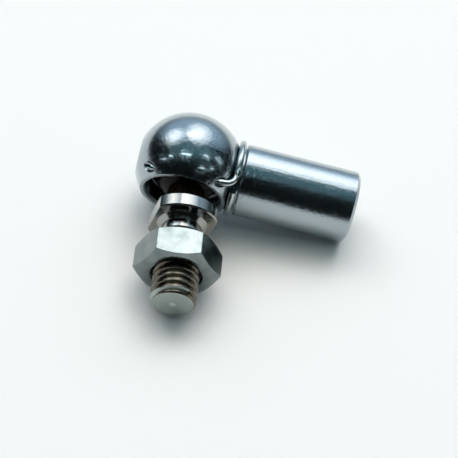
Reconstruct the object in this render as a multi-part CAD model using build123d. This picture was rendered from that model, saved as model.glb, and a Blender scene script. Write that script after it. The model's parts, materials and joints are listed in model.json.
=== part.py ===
from build123d import *
from math import asin, atan2, cos, degrees, hypot, radians, sin, sqrt, tan
import os

# Angle ball joint, M8, with a ball of 13 mm, a snap ring inside and a wire safety clip.
# Millimetres. The part lies at rest: +Z is up from the surface, +X is the plan direction
# of the shank, and the stud points to -Y. The origin is under the middle of the part.

# ball and its play
ball_d = 13.0
ball_play = 0.05
mouth_play = 0.15

# socket head
head_d = 19.4
head_flat_d = 6.6
rim_web = 0.5
mouth_chamfer = 0.4

# socket shank and its neck
shank_d = 13.0
shank_end_x = 30.0
shank_end_chamfer = 0.5
neck_d = 11.5
shoulder_gap = 0.25
shoulder_chamfer = 0.3

# M8 thread, held as plain walls of its nominal diameter
thread_d = 8.0
tap_drill_d = 6.8
tapped_depth = 16.0
drilled_depth = 18.0
drill_half_angle = 59.0
countersink = 0.4

# snap ring under the ball
ring_wire_d = 1.0
ring_z = 2.4
ring_side_play = 0.05
ring_gap_angle = 32.0

# wire safety clip
clip_wire_d = 1.15
clip_hole_d = 1.9
clip_hole_web = 0.6
clip_ball_gap = 0.12
clip_head_gap = 0.25
clip_grip_play = 0.02
clip_tip_recess = 0.35
clip_leg_turn = 4.25
clip_bend_x = 1.55
clip_bend_angle = 19.0
clip_end_angle = 50.0

# ball stud, measured from the ball centre along the stud
stud_neck_d = 6.6
stud_neck_blend = 0.4
seat_reach = 12.9
seat_cone = 0.85
collar_d = 12.8
collar_h = 2.5
collar_edge = 0.2
collar_across_flats = 10.4
collar_turn = 75.3
undercut_d = 7.2
undercut_w = 2.4
stud_thread_l = 15.9
stud_tip_chamfer = 0.5
centre_mark_d = 1.3
centre_mark_depth = 0.4

# hex nut
nut_across_flats = 13.0
nut_h = 6.0
nut_bevel_d = 11.7
nut_countersink = 0.5
nut_thread_play = 0.03
nut_gap = 4.4
bevel_angle = 30.0

# how it lies
mouth_drop = 18.0
stud_plan_angle = -85.4

ball_r = ball_d / 2
head_r = head_d / 2
shank_r = shank_d / 2
neck_r = neck_d / 2
thread_r = thread_d / 2
cup_r = ball_r + ball_play
mouth_r = ball_r + mouth_play
stud_end = seat_reach + stud_thread_l
nut_near = seat_reach + nut_gap
nut_far = nut_near + nut_h


def floor_angle(reach, radius):
    # slope at which a point this far along an arm, and this far below it, meets the floor
    return asin(head_r / hypot(reach, radius)) - atan2(radius, reach)


def make_socket():
    # turned outline around the shank axis: flat, head, neck, shoulder, shank
    flat_r = head_flat_d / 2
    flat_x = sqrt(head_r**2 - flat_r**2)
    neck_x = sqrt(head_r**2 - neck_r**2)
    outer = Curve() + [
        Line((-flat_x, 0), (-flat_x, flat_r)),
        ThreePointArc((-flat_x, flat_r), (0, head_r), (neck_x, neck_r)),
        Polyline(
            (neck_x, neck_r),
            (shoulder_x, neck_r),
            (shoulder_x, shank_r - shoulder_chamfer),
            (shoulder_x + shoulder_chamfer, shank_r),
            (shank_end_x - shank_end_chamfer, shank_r),
            (shank_end_x, shank_r - shank_end_chamfer),
            (shank_end_x, 0),
            (-flat_x, 0),
        ),
    ]
    body = revolve(make_face(outer), Axis.X)
    body -= Pos(0, 0, rim_z) * Cylinder(head_r, head_r, align=(Align.CENTER, Align.CENTER, Align.MIN))
    # ball cup, mouth, snap ring groove
    body -= Sphere(cup_r)
    mouth = Polyline(
        (0, 0),
        (mouth_r, 0),
        (mouth_r, rim_z - mouth_chamfer),
        (mouth_r + mouth_chamfer + 0.1, rim_z + 0.1),
        (0, rim_z + 0.1),
        close=True,
    )
    body -= revolve(make_face(Plane.XZ * mouth), Axis.Z)
    groove_w = ring_wire_d + 2 * ring_side_play
    body -= Pos(0, 0, ring_z) * Cylinder(groove_r, groove_w)
    # tapped hole in the shank end
    drill_r = tap_drill_d / 2
    thread_end_x = shank_end_x - tapped_depth
    drill_end_x = shank_end_x - drilled_depth
    hole = Polyline(
        (shank_end_x, 0),
        (shank_end_x, thread_r + countersink),
        (shank_end_x - countersink, thread_r),
        (thread_end_x, thread_r),
        (thread_end_x, drill_r),
        (drill_end_x, drill_r),
        (drill_end_x - drill_r / tan(radians(drill_half_angle)), 0),
        close=True,
    )
    body -= revolve(make_face(hole), Axis.X)
    # cross holes for the safety clip, drilled beside the mouth along the shank
    drill_from = Plane((-head_r, clip_leg_y, clip_leg_z), z_dir=(1, 0, 0))
    drill = extrude(drill_from * Circle(clip_hole_d / 2), head_r + clip_loop_x)
    body -= Rot(Z=clip_leg_turn) * drill
    return body


def make_ring():
    # open wire ring that springs into its groove below the widest part of the ball
    wire = Plane.XZ * Pos(ring_r, ring_z) * Circle(ring_wire_d / 2)
    return Rot(Z=90 + ring_gap_angle / 2) * revolve(wire, Axis.Z, 360 - ring_gap_angle)


def make_clip():
    # one wire: a straight leg below the ball, a bend, then a loop in the neck groove
    leg_angle = degrees(atan2(clip_leg_z, clip_leg_y))
    leg_r = hypot(clip_leg_y, clip_leg_z)
    head_x = sqrt(head_r**2 - leg_r**2)
    leg_dir = Vector(1, 0, 0).rotate(Axis.Z, clip_leg_turn)
    start = Vector(clip_tip_recess - head_x, clip_leg_y, clip_leg_z).rotate(Axis.Z, clip_leg_turn)
    turn = Vector(clip_loop_x - clip_bend_x, clip_leg_y, clip_leg_z).rotate(Axis.Z, clip_leg_turn)
    loop_from = leg_angle - clip_bend_angle
    loop_sweep = 360 - clip_end_angle + loop_from
    loop_plane = Plane((clip_loop_x, 0, 0), x_dir=(0, 1, 0), z_dir=(1, 0, 0))
    loop = loop_plane * CenterArc((0, 0), loop_r, loop_from, -loop_sweep)
    loop_start = (clip_loop_x, loop_r * cos(radians(loop_from)), loop_r * sin(radians(loop_from)))
    along_loop = (0, sin(radians(loop_from)), -cos(radians(loop_from)))
    bend = Spline(turn, loop_start, tangents=[leg_dir, along_loop])
    path = Wire([Line(start, turn), bend, loop])
    return sweep(Plane(start, z_dir=leg_dir) * Circle(clip_wire_d / 2), path=path)


def make_stud():
    # ball, neck, round collar with two spanner flats, undercut and threaded end
    stud_neck_r = stud_neck_d / 2
    undercut_r = undercut_d / 2
    neck_from = sqrt(ball_r**2 - stud_neck_r**2)
    collar_near = seat_reach - collar_h
    shaft = Polyline(
        (0, neck_from),
        (stud_neck_r, neck_from),
        (stud_neck_r, collar_near - stud_neck_blend),
        (stud_neck_r + stud_neck_blend, collar_near),
        (0, collar_near),
        close=True,
    )
    collar_r = collar_d / 2
    collar = Polyline(
        (0, collar_near),
        (collar_r - collar_edge, collar_near),
        (collar_r, collar_near + collar_edge),
        (collar_r, seat_reach - collar_edge),
        (collar_r - collar_edge, seat_reach),
        (0, seat_reach),
        close=True,
    )
    thread = Polyline(
        (0, seat_reach),
        (undercut_r + seat_cone, seat_reach),
        (undercut_r, seat_reach + seat_cone),
        (undercut_r, seat_reach + undercut_w),
        (thread_r, seat_reach + undercut_w + thread_r - undercut_r),
        (thread_r, stud_end - stud_tip_chamfer),
        (thread_r - stud_tip_chamfer, stud_end),
        (centre_mark_d / 2, stud_end),
        (0, stud_end - centre_mark_depth),
        close=True,
    )
    body = Sphere(ball_r)
    body += revolve(make_face(Plane.XZ * shaft), Axis.Z)
    flats = Pos(0, 0, seat_reach - collar_h / 2) * Box(collar_across_flats, collar_d, collar_h)
    body += Rot(Z=collar_turn) * (revolve(make_face(Plane.XZ * collar), Axis.Z) & flats)
    body += revolve(make_face(Plane.XZ * thread), Axis.Z)
    return body


def make_nut():
    # hexagonal prism with a flat towards +X, its corners turned off by a cone at both ends
    corner_r = nut_across_flats / sqrt(3)
    drop = (corner_r - nut_bevel_d / 2) * tan(radians(bevel_angle))
    outline = Polyline(
        (0, 0),
        (nut_bevel_d / 2, 0),
        (corner_r, drop),
        (corner_r, nut_h - drop),
        (nut_bevel_d / 2, nut_h),
        (0, nut_h),
        close=True,
    )
    prism = extrude(RegularPolygon(corner_r, 6, rotation=30), nut_h)
    body = prism & revolve(make_face(Plane.XZ * outline), Axis.Z)
    wall_r = thread_r + nut_thread_play
    hole = Polyline(
        (0, 0),
        (wall_r + nut_countersink, 0),
        (wall_r, nut_countersink),
        (wall_r, nut_h - nut_countersink),
        (wall_r + nut_countersink, nut_h),
        (0, nut_h),
        close=True,
    )
    body -= revolve(make_face(Plane.XZ * hole), Axis.Z)
    return Pos(0, 0, nut_near) * body


# the snap ring rides just clear of the ball, and its groove lets it open over the ball
ring_r = sqrt((ball_r + ball_play + ring_wire_d / 2) ** 2 - ring_z**2)
groove_r = ball_r + ball_play + ring_wire_d

# the clip's leg passes below the snap ring and just clear of the ball
clip_leg_z = ring_z + ring_wire_d / 2 + ring_side_play + clip_hole_web + clip_hole_d / 2
clip_leg_y = sqrt((ball_r + clip_ball_gap + clip_wire_d / 2) ** 2 - clip_leg_z**2)
rim_z = clip_leg_z + clip_hole_d / 2 + rim_web

# its loop lies in the neck groove, just clear of the head and of the shank's shoulder
loop_r = neck_r + clip_wire_d / 2 + clip_grip_play
clip_loop_x = sqrt((head_r + clip_head_gap + clip_wire_d / 2) ** 2 - loop_r**2)
shoulder_x = clip_loop_x + clip_wire_d / 2 + shoulder_gap

# it lies on the head, the end of the shank and a flat of the nut
shank_pitch = floor_angle(shank_end_x - shank_end_chamfer, shank_r)
nut_flat_r = nut_across_flats / 2
nut_bevel = (nut_flat_r - nut_bevel_d / 2) * tan(radians(bevel_angle))
stud_droop = floor_angle(nut_far - nut_bevel, nut_flat_r)
plan = radians(stud_plan_angle)
shank_dir = Vector(cos(shank_pitch), 0, -sin(shank_pitch))
stud_dir = Vector(cos(stud_droop) * cos(plan), cos(stud_droop) * sin(plan), -sin(stud_droop))
mouth_dir = Vector(0, -1, 0).rotate(Axis((0, 0, 0), shank_dir), mouth_drop)
down_dir = (Vector(0, 0, -1) - stud_dir * Vector(0, 0, -1).dot(stud_dir)).normalized()
ball_at = Vector(0, 0, head_r)
socket_place = Plane(ball_at, x_dir=shank_dir, z_dir=mouth_dir)
stud_place = Plane(ball_at, x_dir=down_dir, z_dir=stud_dir)

pieces = {
    "ball_socket": socket_place.location * make_socket(),
    "retaining_ring": socket_place.location * make_ring(),
    "safety_clip": socket_place.location * make_clip(),
    "ball_stud": stud_place.location * make_stud(),
    "hex_nut": stud_place.location * make_nut(),
}

middle = Compound(children=[Part() + piece for piece in pieces.values()]).bounding_box().center()
to_origin = Pos(-middle.X, -middle.Y, 0)

os.makedirs("parts", exist_ok=True)
for name, piece in pieces.items():
    export_step(to_origin * piece, f"parts/{name}.step")
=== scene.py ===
import json
import math

import bmesh
import bpy
from mathutils import Matrix, Quaternion, Vector


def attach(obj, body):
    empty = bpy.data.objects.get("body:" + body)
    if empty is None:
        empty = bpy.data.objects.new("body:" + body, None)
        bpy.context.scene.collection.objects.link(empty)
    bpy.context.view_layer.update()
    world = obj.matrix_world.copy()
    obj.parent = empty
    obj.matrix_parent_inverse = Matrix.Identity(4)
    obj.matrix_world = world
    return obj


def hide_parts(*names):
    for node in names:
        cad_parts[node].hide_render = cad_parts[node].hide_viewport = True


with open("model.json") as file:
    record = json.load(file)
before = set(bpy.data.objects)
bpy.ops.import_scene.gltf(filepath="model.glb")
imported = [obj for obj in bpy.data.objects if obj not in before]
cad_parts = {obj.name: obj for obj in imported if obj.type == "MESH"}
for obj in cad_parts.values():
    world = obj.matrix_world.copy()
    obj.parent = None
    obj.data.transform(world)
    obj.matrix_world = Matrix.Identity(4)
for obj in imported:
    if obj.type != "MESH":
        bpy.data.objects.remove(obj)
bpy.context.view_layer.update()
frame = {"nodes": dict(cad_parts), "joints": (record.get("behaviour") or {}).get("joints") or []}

mm = 0.001
weld = 0.0005  # millimetres, points nearer than this become one
overrun = 0.5  # millimetres that a threading tool runs past the work
print("frame loaded:", ", ".join(sorted(frame["nodes"])))


# small helpers

def linearColour(hexColour):
    # sRGB hex to the linear values that the shaders want
    channels = [int(hexColour[i:i + 2], 16) / 255 for i in (1, 3, 5)]
    return [c / 12.92 if c <= 0.04045 else ((c + 0.055) / 1.055) ** 2.4 for c in channels] + [1.0]


def addNode(tree, kind, settings=None, inputs=None):
    # one node: settings are its own options, inputs take a value or another node's output
    node = tree.nodes.new(kind)
    for name, value in (settings or {}).items():
        setattr(node, name, value)
    for name, value in (inputs or {}).items():
        if isinstance(value, bpy.types.NodeSocket):
            tree.links.new(value, node.inputs[name])
        else:
            node.inputs[name].default_value = value
    return node


def newMaterial(name):
    material = bpy.data.materials.new(name)
    material.use_nodes = True
    material.node_tree.nodes.clear()
    return material, material.node_tree


def axisFrame(along, towards):
    # turns local Z to along and local X as near to towards as it goes
    z = Vector(along).normalized()
    x = Vector(towards)
    x = (x - z * x.dot(z)).normalized()
    return Matrix((x, z.cross(x), z)).transposed().to_4x4()


def finishMesh(bm, name):
    bmesh.ops.remove_doubles(bm, verts=bm.verts, dist=weld)
    bmesh.ops.recalc_face_normals(bm, faces=bm.faces)
    mesh = bpy.data.meshes.new(name)
    bm.to_mesh(mesh)
    bm.free()
    piece = bpy.data.objects.new(name, mesh)
    bpy.context.scene.collection.objects.link(piece)
    return piece


def combine(piece, tool, operation):
    # exact boolean, applied at once, and the tool thrown away
    modifier = piece.modifiers.new(operation.lower(), "BOOLEAN")
    modifier.operation = operation
    modifier.solver = "EXACT"
    modifier.object = tool
    bpy.context.view_layer.update()
    evaluated = piece.evaluated_get(bpy.context.evaluated_depsgraph_get())
    result = bpy.data.meshes.new_from_object(evaluated)
    piece.modifiers.clear()
    piece.data = result
    bpy.data.objects.remove(tool)
    return piece


def seatPiece(piece, place, creaseAngle=32):
    # from millimetres on its own axis to metres in the frame, smooth but for its edges
    piece.data.transform(place @ Matrix.Scale(mm, 4))
    piece.data.shade_smooth()
    piece.data.set_sharp_from_angle(angle=math.radians(creaseAngle))


def turned(outline, name, steps=96):
    # outline is a few (radius, height) points, turned a full round about Z
    bm = bmesh.new()
    points = [bm.verts.new((radius, 0, height)) for radius, height in outline]
    edges = [bm.edges.new(pair) for pair in zip(points, points[1:])]
    bmesh.ops.spin(bm, geom=points + edges, cent=(0, 0, 0), axis=(0, 0, 1), angle=math.tau,
                   steps=steps, use_merge=True)
    return finishMesh(bm, name)


def screwCore(thread, start, end, play=0.0, name="core", steps=72):
    # one turn of the thread form spun with a rise of one pitch, so that row ends meet as a helix
    pitch = thread["pitch"]
    crest = thread["outerRadius"] + play
    root = thread["rootRadius"] + play
    form = [(0.0, root)]
    for share, radius in zip(thread["corners"], (root, crest, crest)):
        form.append((pitch * share, radius))
    first = math.floor(start / pitch) - 2
    turns = math.ceil(end / pitch) + 2 - first
    bm = bmesh.new()
    points = []
    for turn in range(turns):
        for rise, radius in form:
            points.append(bm.verts.new((radius, 0, (first + turn) * pitch + rise)))
    points.append(bm.verts.new((root, 0, (first + turns) * pitch)))
    edges = [bm.edges.new(pair) for pair in zip(points, points[1:])]
    bmesh.ops.spin(bm, geom=points + edges, cent=(0, 0, 0), axis=(0, 0, 1), angle=math.tau,
                   steps=steps, dvec=(0, 0, pitch / steps))
    bmesh.ops.remove_doubles(bm, verts=bm.verts, dist=weld)
    for height, outwards in ((start, -1), (end, 1)):
        geometry = bm.verts[:] + bm.edges[:] + bm.faces[:]
        cut = bmesh.ops.bisect_plane(bm, geom=geometry, plane_co=(0, 0, height),
                                     plane_no=(0, 0, outwards), clear_outer=True)
        rim = [e for e in cut["geom_cut"] if isinstance(e, bmesh.types.BMEdge)]
        bmesh.ops.holes_fill(bm, edges=rim)
    return finishMesh(bm, name)


def hexagonBar(acrossFlats, start, end, name):
    # a bar with one flat towards +X
    corner = acrossFlats / math.sqrt(3)
    bm = bmesh.new()
    bmesh.ops.create_cone(bm, cap_ends=True, segments=6, radius1=corner, radius2=corner,
                          depth=end - start)
    facing = max((f for f in bm.faces if abs(f.normal.z) < 0.5), key=lambda f: f.normal.x)
    spare = math.atan2(facing.normal.y, facing.normal.x)
    bmesh.ops.rotate(bm, verts=bm.verts, matrix=Matrix.Rotation(-spare, 3, "Z"))
    bmesh.ops.translate(bm, verts=bm.verts, vec=(0, 0, (start + end) / 2))
    return finishMesh(bm, name)


# where things are: the joints give the ball centre and the two axes

joints = {joint["name"]: joint for joint in frame["joints"]}
ballCentre = Vector(joints["ring_turn"]["pos_m"])
mouthDirection = Vector(joints["ring_turn"]["axis"]).normalized()
studDirection = Vector(joints["nut_travel"]["axis"]).normalized()
shankDroop = math.radians(6.304)  # the shank falls towards its end
shankDirection = Vector((math.cos(shankDroop), 0, -math.sin(shankDroop)))
studPlace = Matrix.Translation(ballCentre) @ axisFrame(studDirection, (0, 0, -1))
shankPlace = Matrix.Translation(ballCentre) @ axisFrame(shankDirection, mouthDirection)

threadForm = {  # millimetres, M8 coarse
    "nominalRadius": 4.0,
    "outerRadius": 3.98,
    "rootRadius": 3.36,
    "pitch": 1.25,
    "corners": (0.17, 0.47, 0.70),  # end of the root, start and end of the crest, in pitches
}


# ball stud: ball, neck, round collar with two spanner flats, and rolled thread

stud = {  # millimetres from the ball centre along the stud
    "ballRadius": 6.5,
    "neckStart": 3.0,
    "neckRadius": 3.3,
    "neckFillet": 0.4,
    "collarStart": 10.4,
    "seat": 12.9,
    "collarRadius": 6.4,
    "collarEdge": 0.2,
    "flats": 10.4,
    "flatTurn": 75.3,
    "footRadius": 4.45,
    "reliefRadius": 3.6,
    "reliefEnd": 15.3,
    "end": 28.8,
    "tipChamfer": 0.5,
    "markRadius": 0.7,
    "markDepth": 0.55,
    "lap": 0.1,  # how far one turned part runs into the next
    "runOut": 0.4,  # the thread fades out over this at the relief
}


def makeStud():
    near, seat = stud["collarStart"], stud["seat"]
    wide, edge = stud["collarRadius"], stud["collarEdge"]
    neck, fillet = stud["neckRadius"], stud["neckFillet"]
    relief, reliefEnd = stud["reliefRadius"], stud["reliefEnd"]
    outer, end, lap = threadForm["nominalRadius"], stud["end"], stud["lap"]
    collar = turned([
        (0, near),
        (wide - edge, near),
        (wide, near + edge),
        (wide, seat - edge),
        (wide - edge, seat),
        (0, seat)], "collar")
    bm = bmesh.new()
    bmesh.ops.create_cube(bm, size=1)
    bmesh.ops.scale(bm, verts=bm.verts, vec=(stud["flats"], 3 * wide, 3 * wide))
    turn = Matrix.Rotation(math.radians(stud["flatTurn"]), 3, "Z")
    bmesh.ops.rotate(bm, verts=bm.verts, matrix=turn)
    bmesh.ops.translate(bm, verts=bm.verts, vec=(0, 0, seat))
    collar = combine(collar, finishMesh(bm, "spannerFlats"), "INTERSECT")
    runOut = stud["runOut"]
    core = screwCore(threadForm, reliefEnd - runOut, end + runOut, name="threadCore")
    core = combine(core, turned([
        (0, seat - 2 * lap),
        (relief, seat - 2 * lap),
        (relief, reliefEnd),
        (outer, reliefEnd + runOut),
        (outer, end - stud["tipChamfer"]),
        (outer - stud["tipChamfer"], end),
        (stud["markRadius"], end),
        (0, end - stud["markDepth"])], "threadEnvelope"), "INTERSECT")
    foot = stud["footRadius"] - relief
    shaft = turned([
        (0, stud["neckStart"]),
        (neck, stud["neckStart"]),
        (neck, near - fillet),
        (neck + fillet * 0.3, near - fillet * 0.3),
        (neck + fillet, near + lap),
        (relief, seat - lap),
        (stud["footRadius"], seat - lap),
        (stud["footRadius"], seat),
        (relief, seat + foot),
        (relief, reliefEnd),
        (0, reliefEnd)], "shaft")
    bm = bmesh.new()
    bmesh.ops.create_uvsphere(bm, u_segments=96, v_segments=56, radius=stud["ballRadius"])
    piece = finishMesh(bm, "ballStud")
    for part in (shaft, collar, core):
        piece = combine(piece, part, "UNION")
    # finishes by zone: 0 ball and neck, darkened as painted shade of the socket's cup, 1 collar
    # and relief, 2 thread, 3 cut end
    for face in piece.data.polygons:
        height = face.center.z
        endwards = face.normal.z > 0.8 or face.center.xy.length < stud["markRadius"]
        face.material_index = 0 if height < near else 1 if height < reliefEnd else 2
        if height > end - 2 * stud["tipChamfer"] and endwards:
            face.material_index = 3
    seatPiece(piece, studPlace)
    return piece


ballStud = makeStud()
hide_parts("ball_stud")
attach(ballStud, "stud")
print("ball stud:", len(ballStud.data.polygons), "faces")


# hexagon nut, its thread in step with the stud's

nut = {  # millimetres along the stud
    "start": 17.3,
    "end": 23.3,
    "flats": 13.0,
    "bevelRadius": 5.85,
    "bevelAngle": 30,  # degrees
    "threadPlay": 0.03,
    "countersink": 0.5,
    "countersinkFloor": 3.2,  # radius that its cone runs down to, inside the thread
    "lead": 0.3,  # the countersink tool starts this far outside the face
}


def makeNut():
    start, end, bevel = nut["start"], nut["end"], nut["bevelRadius"]
    clear = nut["flats"] / math.sqrt(3) + 1  # a millimetre past the corners
    drop = (clear - bevel) * math.tan(math.radians(nut["bevelAngle"]))
    piece = hexagonBar(nut["flats"], start, end, "hexNut")
    piece = combine(piece, turned([
        (0, start),
        (bevel, start),
        (clear, start + drop),
        (clear, end - drop),
        (bevel, end),
        (0, end)], "nutTurning"), "INTERSECT")
    tap = screwCore(threadForm, start - overrun, end + overrun, nut["threadPlay"], "nutTap")
    piece = combine(piece, tap, "DIFFERENCE")
    mouth = threadForm["nominalRadius"] + nut["threadPlay"] + nut["countersink"]
    cone, lead = nut["countersinkFloor"], nut["lead"]
    for face, inwards in ((start, 1), (end, -1)):
        piece = combine(piece, turned([
            (0, face - inwards * lead),
            (mouth + lead, face - inwards * lead),
            (cone, face + inwards * (mouth - cone)),
            (0, face + inwards * (mouth - cone))], "countersink"), "DIFFERENCE")
    seatPiece(piece, studPlace)
    return piece


hexNut = makeNut()
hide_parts("hex_nut")
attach(hexNut, "nut")
print("nut:", len(hexNut.data.polygons), "faces")


# tapped hole in the shank: a thin threaded lining in the plain bore

tapping = {  # millimetres from the ball centre along the shank
    "start": 14.05,
    "end": 29.6,
    "wall": 0.06,
    "play": 0.01,
    "mouthRadius": 4.4,
    "mouthFloor": 3.3,
    "lead": 0.3,
}


def makeTapping():
    start, end, lead = tapping["start"], tapping["end"], tapping["lead"]
    radius = threadForm["nominalRadius"] + tapping["wall"]
    piece = turned([(0, start), (radius, start), (radius, end), (0, end)], "tappedThread")
    tap = screwCore(threadForm, start - overrun, end + overrun, tapping["play"], "shankTap")
    piece = combine(piece, tap, "DIFFERENCE")
    wide, narrow = tapping["mouthRadius"], tapping["mouthFloor"]
    depth = wide - narrow - lead  # a 45 degree countersink
    mouth = turned([
        (0, end + lead),
        (wide, end + lead),
        (narrow, end - depth),
        (0, end - depth)], "tappedMouth")
    piece = combine(piece, mouth, "DIFFERENCE")
    seatPiece(piece, shankPlace)
    return piece


tappedThread = makeTapping()
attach(tappedThread, "socket")
print("tapped thread:", len(tappedThread.data.polygons), "faces")


# materials

plating = {  # shared by every finish
    "polishRange": (0.35, 0.65),  # grain noise from the smoothest to the roughest spot
    "pitRange": (0.62, 0.70),  # grain noise from open surface down to a pit's floor
    "squareRange": (0.97, 0.99),  # from a slanting face to one square to the axis
    "markStretch": (0.03, 0.03, 1.0),
    "grainHeight": 0.15,  # of its width
    "markHeight": 0.1,  # of its width
    "filmRoughness": 0.02,
}


def platedSteel(name, look, place):
    # place centres the pattern on the piece with local Z along its turning axis
    material, tree = newMaterial(name)
    coordinates = addNode(tree, "ShaderNodeTexCoord")
    turnedTo = addNode(tree, "ShaderNodeMapping", {"vector_type": "TEXTURE"}, {
        "Vector": coordinates.outputs["Object"],
        "Location": place.translation,
        "Rotation": place.to_euler(),
    })
    grain = addNode(tree, "ShaderNodeTexNoise", None, {
        "Vector": turnedTo.outputs["Vector"],
        "Scale": 1 / (look["grain"] * mm),
        "Detail": 3.0,
        "Roughness": 0.6,
    })
    cloud = addNode(tree, "ShaderNodeTexNoise", None, {
        "Vector": turnedTo.outputs["Vector"],
        "Scale": 1 / (look["cloud"] * mm),
        "Detail": 2.0,
    })
    # tool marks run round the turning axis: stretched so that they change only along it
    stretched = addNode(tree, "ShaderNodeVectorMath", {"operation": "MULTIPLY"}, {
        0: turnedTo.outputs["Vector"],
        1: plating["markStretch"],
    })
    marks = addNode(tree, "ShaderNodeTexNoise", None, {
        "Vector": stretched.outputs["Vector"],
        "Scale": 1 / (look["toolMark"] * mm),
        "Detail": 4.0,
        "Roughness": 0.7,
    })
    tint = addNode(tree, "ShaderNodeMix", {"data_type": "RGBA"}, {
        "Factor": cloud.outputs["Fac"],
        "A": linearColour(look["colourA"]),
        "B": linearColour(look["colourB"]),
    })
    polish = addNode(tree, "ShaderNodeMapRange", None, {
        "Value": grain.outputs["Fac"],
        "From Min": plating["polishRange"][0],
        "From Max": plating["polishRange"][1],
        "To Min": look["roughness"][0],
        "To Max": look["roughness"][1],
    })
    # faces square to the turning axis are faced off finer than the rest
    squareOn = addNode(tree, "ShaderNodeVectorMath", {"operation": "DOT_PRODUCT"}, {
        0: coordinates.outputs["Normal"],
        1: place.to_3x3() @ Vector((0, 0, 1)),
    })
    square = addNode(tree, "ShaderNodeMath", {"operation": "ABSOLUTE"}, {
        0: squareOn.outputs["Value"],
    })
    coarseness = addNode(tree, "ShaderNodeMapRange", None, {
        "Value": square.outputs["Value"],
        "From Min": plating["squareRange"][0],
        "From Max": plating["squareRange"][1],
        "To Min": 1.0,
        "To Max": look.get("faced", 1.0),
    })
    grainStrength = addNode(tree, "ShaderNodeMath", {"operation": "MULTIPLY"}, {
        0: coarseness.outputs["Result"],
        1: look["grainStrength"],
    })
    edge = addNode(tree, "ShaderNodeBevel", {"samples": 6}, {
        "Radius": look["edgeBreak"] * mm,
    })
    markBump = addNode(tree, "ShaderNodeBump", None, {
        "Strength": look["markStrength"],
        "Distance": look["toolMark"] * mm * plating["markHeight"],
        "Height": marks.outputs["Fac"],
        "Normal": edge.outputs["Normal"],
    })
    pits = addNode(tree, "ShaderNodeMapRange", None, {
        "Value": grain.outputs["Fac"],
        "From Min": plating["pitRange"][0],
        "From Max": plating["pitRange"][1],
        "To Min": 1.0,
        "To Max": 0.0,
    })
    pitBump = addNode(tree, "ShaderNodeBump", None, {
        "Strength": coarseness.outputs["Result"],
        "Distance": look["pitDepth"] * mm,
        "Height": pits.outputs["Result"],
        "Normal": markBump.outputs["Normal"],
    })
    grainBump = addNode(tree, "ShaderNodeBump", None, {
        "Strength": grainStrength.outputs["Value"],
        "Distance": look["grain"] * mm * plating["grainHeight"],
        "Height": grain.outputs["Fac"],
        "Normal": pitBump.outputs["Normal"],
    })
    shader = addNode(tree, "ShaderNodeBsdfPrincipled", None, {
        "Base Color": tint.outputs["Result"],
        "Metallic": look["metal"],
        "Specular IOR Level": look.get("specular", 0.5),
        "Roughness": polish.outputs["Result"],
        "Normal": grainBump.outputs["Normal"],
        "Coat Weight": look["film"],
        "Coat Roughness": plating["filmRoughness"],
        "Coat IOR": look.get("filmIor", 1.5),
        "Coat Normal": edge.outputs["Normal"],
    })
    addNode(tree, "ShaderNodeOutputMaterial", None, {"Surface": shader.outputs["BSDF"]})
    return material


# free-cutting steel, turned, then zinc plated and passivated blue:
# cool grey, soft gloss over a crystal speckle, with crisp lamps in the clear film
zincPlatedSocket = {
    "colourA": "#88959b",
    "colourB": "#95a2a8",
    "metal": 1.0,
    "roughness": (0.11, 0.24),
    "grain": 0.55,  # the plating's crystals are finer, drawn coarse enough to show
    "pitDepth": 0.016,
    "cloud": 4.0,
    "toolMark": 0.25,  # feed of the turning tool
    "markStrength": 0.12,
    "grainStrength": 0.75,
    "faced": 0.15,  # how much of the grain the square faces keep
    "edgeBreak": 0.12,
    "filmIor": 2.0,  # chromate and zinc oxide bend light more than a lacquer
    "film": 1.0,  # clear passivation film over the zinc
}
# the stud is turned and burnished before a bright warm plating:
# sharper reflections, tool rings at the collar
brightPlatedStud = {
    "colourA": "#8c9aa3",
    "colourB": "#a49a88",
    "metal": 1.0,
    "roughness": (0.07, 0.15),
    "grain": 0.5,
    "pitDepth": 0.006,
    "cloud": 3.0,
    "toolMark": 0.2,
    "markStrength": 0.2,
    "grainStrength": 0.2,
    "edgeBreak": 0.10,
    "film": 0.2,
}
# hard drawn spring wire, bright plated: smooth along its length with a crisp highlight
drawnSpringWire = {
    "colourA": "#a9b1b2",
    "colourB": "#bcc3c2",
    "metal": 1.0,
    "roughness": (0.12, 0.22),
    "grain": 0.4,
    "pitDepth": 0.005,
    "cloud": 3.0,
    "toolMark": 0.3,
    "markStrength": 0.1,
    "grainStrength": 0.25,
    "edgeBreak": 0.08,
    "film": 0.1,
}
# cold-formed nut, barrel zinc plated: dark grey faces, mottled, flat enough to mirror a lamp
barrelPlatedNut = {
    "colourA": "#4f5b5c",
    "colourB": "#8d9594",
    "metal": 1.0,
    "roughness": (0.07, 0.14),
    "grain": 0.4,
    "pitDepth": 0.005,
    "cloud": 2.5,
    "toolMark": 0.4,
    "markStrength": 0.1,
    "grainStrength": 0.35,
    "edgeBreak": 0.15,
    "film": 0.15,
}
# ball and neck painted near black for the shade inside the socket's cup: painted shade, not a
# colour of their own
ballInCupPaintedShade = {
    "colourA": "#141210",
    "colourB": "#2b2119",
    "metal": 0.0,  # not metal, so the painted shade stays dark with only faint highlights
    "specular": 0.1,
    "roughness": (0.2, 0.3),
    "grain": 0.6,
    "pitDepth": 0.004,
    "cloud": 2.5,
    "toolMark": 0.3,
    "markStrength": 0.1,
    "grainStrength": 0.15,
    "edgeBreak": 0.10,
    "film": 0.0,
}
# rolled thread, plated: flanks smeared by the dies, small nicks on the crests
rolledThread = {
    "colourA": "#37332b",
    "colourB": "#7d776a",
    "metal": 1.0,
    "roughness": (0.08, 0.22),
    "grain": 0.36,
    "pitDepth": 0.02,
    "cloud": 0.9,
    "toolMark": 0.3,
    "markStrength": 0.1,
    "grainStrength": 1.0,
    "edgeBreak": 0.05,
    "film": 0.2,
}
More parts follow.
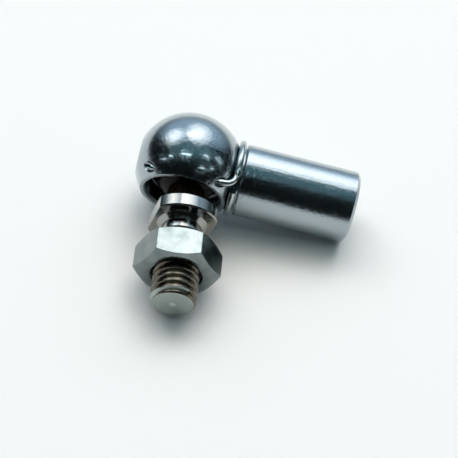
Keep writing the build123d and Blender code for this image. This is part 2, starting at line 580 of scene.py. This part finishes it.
# cropped end of the stud: duller plating over a cut face
croppedEnd = {
    "colourA": "#9aa39e",
    "colourB": "#a9b2ad",
    "metal": 1.0,
    "roughness": (0.28, 0.42),
    "grain": 0.3,
    "pitDepth": 0.008,
    "cloud": 1.5,
    "toolMark": 0.3,
    "markStrength": 0.3,
    "grainStrength": 0.4,
    "edgeBreak": 0.10,
    "film": 0.1,
}

socketSteel = platedSteel("zincPlatedTurnedSteel", zincPlatedSocket, shankPlace)
studSteel = platedSteel("brightPlatedTurnedSteel", brightPlatedStud, studPlace)
# the ball and neck get a near-black material: painted shade of the cup around them
ballSteel = platedSteel("ballPaintedCupShade", ballInCupPaintedShade, studPlace)
threadSteel = platedSteel("platedRolledThread", rolledThread, studPlace)
endSteel = platedSteel("platedCroppedEnd", croppedEnd, studPlace)
springWire = platedSteel("platedDrawnSpringWire", drawnSpringWire, shankPlace)
nutSteel = platedSteel("barrelPlatedColdFormedSteel", barrelPlatedNut, studPlace)

finishes = {
    frame["nodes"]["ball_socket"]: [socketSteel],
    frame["nodes"]["safety_clip"]: [springWire],
    frame["nodes"]["retaining_ring"]: [springWire],
    tappedThread: [socketSteel],
    ballStud: [ballSteel, studSteel, threadSteel, endSteel],
    hexNut: [nutSteel],
}
for piece, materials in finishes.items():
    zones = [face.material_index for face in piece.data.polygons]
    piece.data.materials.clear()
    for material in materials:
        piece.data.materials.append(material)
    if len(materials) > 1:
        piece.data.polygons.foreach_set("material_index", zones)
finishNames = {material.name for group in finishes.values() for material in group}
print("materials:", ", ".join(sorted(finishNames)))


# floor with a low curved rise behind it, well outside the object

floorSize = {  # metres
    "halfWidth": 5.0,
    "front": -5.0,
    "back": 2.2,
    "riseRadius": 0.7,
    "riseAngle": 80,  # degrees
    "riseSteps": 24,
}


def makeFloor():
    bm = bmesh.new()
    half, front, back = floorSize["halfWidth"], floorSize["front"], floorSize["back"]
    edge = bm.edges.new((bm.verts.new((-half, front, 0)), bm.verts.new((half, front, 0))))
    sweep = bmesh.ops.extrude_edge_only(bm, edges=[edge])
    far = [g for g in sweep["geom"] if isinstance(g, bmesh.types.BMVert)]
    bmesh.ops.translate(bm, verts=far, vec=(0, back - front, 0))
    farEdge = [e for e in far[0].link_edges if e.other_vert(far[0]) in far]
    bmesh.ops.spin(bm, geom=far + farEdge, cent=(0, back, floorSize["riseRadius"]),
                   axis=(1, 0, 0), angle=math.radians(floorSize["riseAngle"]),
                   steps=floorSize["riseSteps"])
    return finishMesh(bm, "floor")


floor = makeFloor()
floor.data.shade_smooth()
paper, paperTree = newMaterial("whitePaperSweep")
matte = addNode(paperTree, "ShaderNodeBsdfDiffuse", None, {"Color": linearColour("#fbfbfb")})
addNode(paperTree, "ShaderNodeOutputMaterial", None, {"Surface": matte.outputs["BSDF"]})
floor.data.materials.append(paper)
print("floor laid")


# lights: two soft boxes and a card behind and above, a wide scrim and ceiling that fill the
# metal with grey, and a row of small lamps overhead

rowColour = "#e4fbff"
lamps = {  # direction from the ball centre, distance and size in metres, radiance, colour
    "softBoxRight": {
        "towards": (0.13, 0.54, 0.83), "distance": 2.0, "size": (0.9, 1.25),
        "radiance": 2.6, "fade": 1.9},
    "softBoxLeft": {
        "towards": (-0.54, 0.35, 0.765), "distance": 2.0, "size": (0.65, 0.7),
        "radiance": 2.9, "fade": 2.2},
    # seen whole in the nut's upper flat, which turns white with it
    "midCard": {
        "towards": (-0.05, 0.43, 0.90), "distance": 1.8, "size": (0.5, 0.42),
        "radiance": 3.2, "fade": 1.3},
    "scrim": {
        "towards": (0.0, 0.74, 0.67), "distance": 3.0, "size": (7.0, 3.9),
        "radiance": 0.95, "colour": "#bfdcf2", "fade": 1.4},
    "ceiling": {
        "towards": (0.0, 0.02, 1.0), "distance": 3.2, "size": (5.0, 2.4),
        "radiance": 0.34, "colour": "#93d0e0", "fade": 1.6},
    "row1": {
        "towards": (-1.60, -0.70, 1.0), "distance": 4.4, "size": (0.95, 0.11),
        "radiance": 6.5, "colour": rowColour},
    "row2": {
        "towards": (-0.85, -0.49, 1.0), "distance": 3.0, "size": (0.42, 0.12),
        "radiance": 8.5, "colour": rowColour},
    "row3": {
        "towards": (-0.13, -0.37, 1.0), "distance": 2.1, "size": (0.85, 0.11),
        "radiance": 7.5, "colour": rowColour},
    "row4": {
        "towards": (0.69, -0.22, 1.0), "distance": 2.4, "size": (0.66, 0.08),
        "radiance": 8.0, "colour": rowColour},
    "row5": {
        "towards": (1.76, -0.03, 1.0), "distance": 3.6, "size": (1.35, 0.09),
        "radiance": 7.5, "colour": rowColour},
    "row6": {
        "towards": (0.82, -0.93, 1.0), "distance": 3.0, "size": (0.66, 0.09),
        "radiance": 8.0, "colour": rowColour},
    "row7": {
        "towards": (1.64, -0.83, 1.0), "distance": 3.9, "size": (0.42, 0.12),
        "radiance": 8.5, "colour": rowColour},
    # overhead fill for the paper and its shadows, kept out of the mirror-like plating
    "paperFill": {
        "towards": (0.0, 0.3, 0.95), "distance": 2.3, "size": (3.0, 2.6),
        "radiance": 1.5, "colour": "#fff3e2", "mirrored": False},
}
fadeSteps = 6  # nested panels in a box that fades
panelGap = 0.01  # metres between them, because panels in one plane hide each other


def hangLamp(name, lamp, spread, part, behind=0.0):
    # spread widens the lamp, and part is its share of the radiance
    width, height = (side * spread for side in lamp["size"])
    area = math.pi * width * height / 4
    light = bpy.data.lights.new(name, "AREA")
    light.shape = "ELLIPSE"
    light.size = width
    light.size_y = height
    light.energy = lamp["radiance"] * part * math.pi * area
    light.color = linearColour(lamp.get("colour", "#ffffff"))[:3]
    holder = bpy.data.objects.new(name, light)
    direction = Vector(lamp["towards"]).normalized()
    place = ballCentre + direction * (lamp["distance"] + behind)
    # long side along world X, as lamps in one row hang
    holder.matrix_world = Matrix.Translation(place) @ axisFrame(direction, (1, 0, 0))
    holder.visible_glossy = lamp.get("mirrored", True)
    bpy.context.scene.collection.objects.link(holder)


for name, lamp in lamps.items():
    if "fade" not in lamp:
        hangLamp(name, lamp, 1.0, 1.0)
        continue
    # nested panels, each adding its part, fade a box towards its edges as a diffuser does
    for step in range(fadeSteps):
        through = step / (fadeSteps - 1)
        spread = (1 - through) / lamp["fade"] + through * lamp["fade"]
        hangLamp(f"{name}{step + 1}", lamp, spread, 1 / fadeSteps, panelGap * step)

room = {"colour": "#4a5558", "strength": 0.1}
world = bpy.data.worlds.new("dimRoom")
world.use_nodes = True
world.node_tree.nodes.clear()
glow = addNode(world.node_tree, "ShaderNodeBackground", None, {
    "Color": linearColour(room["colour"]),
    "Strength": room["strength"],
})
addNode(world.node_tree, "ShaderNodeOutputWorld", None, {"Surface": glow.outputs["Background"]})
bpy.context.scene.world = world
print("stage and lights set")


# camera

view = {
    "place": (0.00588, -0.16245, 0.18054),  # metres
    "looks": (-0.0310, 0.6805, -0.7321),
    "roll": 7.9,  # degrees
    "lens": 106.9,  # millimetres
    "sensor": 36,  # millimetres
    "near": 0.01,  # metres
}
lens = bpy.data.cameras.new("camera")
lens.lens = view["lens"]
lens.sensor_width = view["sensor"]
lens.clip_start = view["near"]
camera = bpy.data.objects.new("camera", lens)
camera.location = view["place"]
aim = Vector(view["looks"]).to_track_quat("-Z", "Y")
roll = Quaternion((0, 0, 1), math.radians(view["roll"]))
camera.rotation_euler = (aim @ roll).to_euler()
bpy.context.scene.collection.objects.link(camera)
bpy.context.scene.camera = camera
bpy.context.scene.view_settings.view_transform = "Standard"
print("camera set")

bpy.context.view_layer.update()
